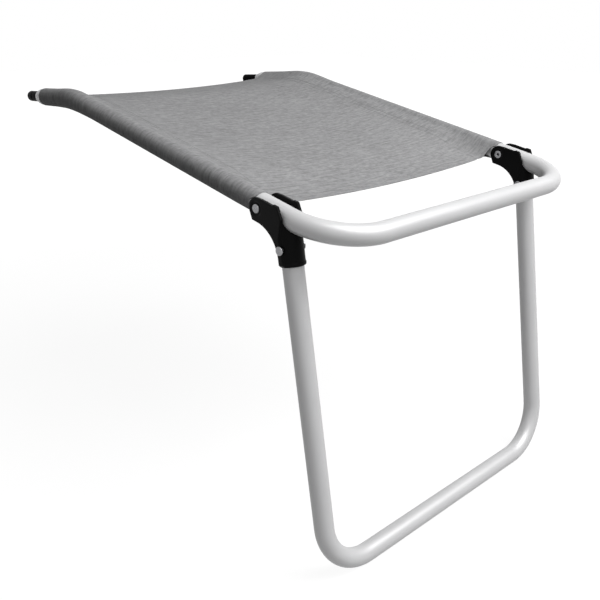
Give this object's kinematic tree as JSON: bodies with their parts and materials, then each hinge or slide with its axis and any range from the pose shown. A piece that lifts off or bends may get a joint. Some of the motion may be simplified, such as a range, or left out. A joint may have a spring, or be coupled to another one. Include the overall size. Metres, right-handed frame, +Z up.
{
  "type": "clip-on folding footrest",
  "caption": "Clip-on footrest for a folding patio chair: a bent tube seat frame with a textile sling and a folding U-shaped leg.",
  "frame": {"origin": "midway between the mouths of the frame tube's two rear ends, which meet the chair's seat tubes", "axes": "+X across from the left rail to the right rail, +Y back towards the chair, +Z up"},
  "size_m": [0.4456, 0.649, 0.4876],
  "materials": {
    "tube": "satin anodised",
    "textile": "coated mesh weave, heathered grey",
    "bracket": "fine-grained moulded nylon",
    "rivet": "bright, domed head",
    "bush": "natural moulded",
    "plug": "moulded"
  },
  "bodies": {
    "seat_frame": {"frame_tube": "tube", "sling": "textile", "pivot_bush_left": "bush", "pivot_bush_right": "bush", "end_plug_left": "plug", "end_plug_right": "plug"},
    "leg_assembly": {"leg_tube": "tube", "hinge_bracket_left": "bracket", "hinge_bracket_right": "bracket", "pivot_rivet_left": "rivet", "pivot_rivet_right": "rivet", "leg_rivet_left": "rivet", "leg_rivet_right": "rivet"}
  },
  "joints": [
    {"name": "leg_fold", "type": "hinge", "parent": "seat_frame", "child": "leg_assembly", "pos_m": [0, -0.50382, -0.06156], "axis": [1, 0, 0], "range_deg": [0, 105]}
  ]
}
